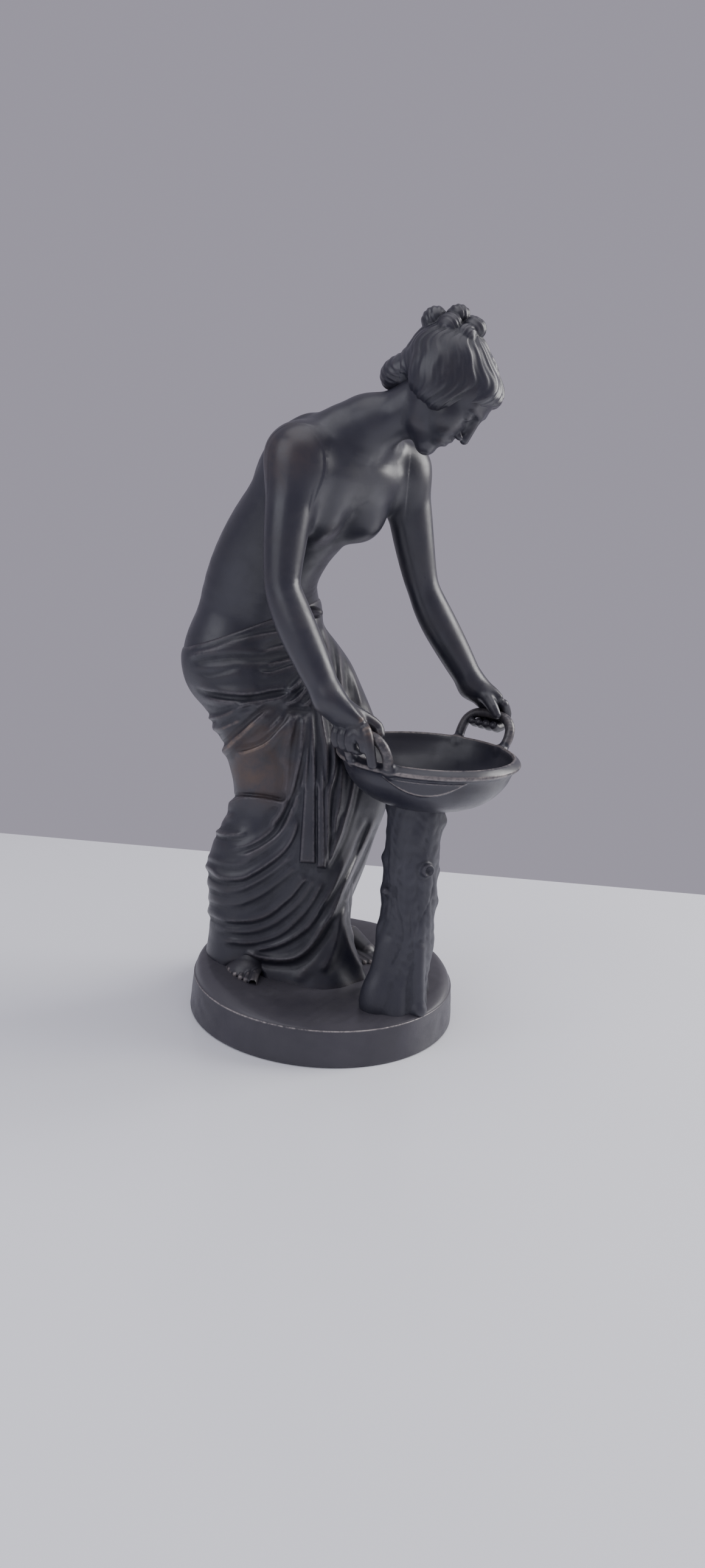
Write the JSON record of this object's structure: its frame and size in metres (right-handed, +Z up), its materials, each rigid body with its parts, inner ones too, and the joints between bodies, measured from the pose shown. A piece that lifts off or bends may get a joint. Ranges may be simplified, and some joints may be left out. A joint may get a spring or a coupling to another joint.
{
  "type": "bronze statuette",
  "caption": "Dark patinated statuette of a draped standing woman bending over a wide two-handled basin that rests on a short tree trunk, all on a low round plinth.",
  "frame": {"origin": "centre of the plinth's flat underside", "axes": "+Z up from the underside to the hair; -Y is the way the woman faces; +X is her left"},
  "size_m": [0.163, 0.1872, 0.3963],
  "materials": {
    "figure_bronze": "blackish brown patina, semi-gloss, worn to warm brown on the high spots",
    "basin_bronze": "blackish brown patina, semi-gloss, rim edge rubbed bright",
    "trunk_bronze": "dull blackish patina over bark texture",
    "plinth_bronze": "dusty dark brown patina, edge line rubbed bright"
  },
  "bodies": {
    "root": {"figure": "figure_bronze", "basin": "basin_bronze", "tree_trunk": "trunk_bronze", "plinth": "plinth_bronze"}
  },
  "joints": []
}
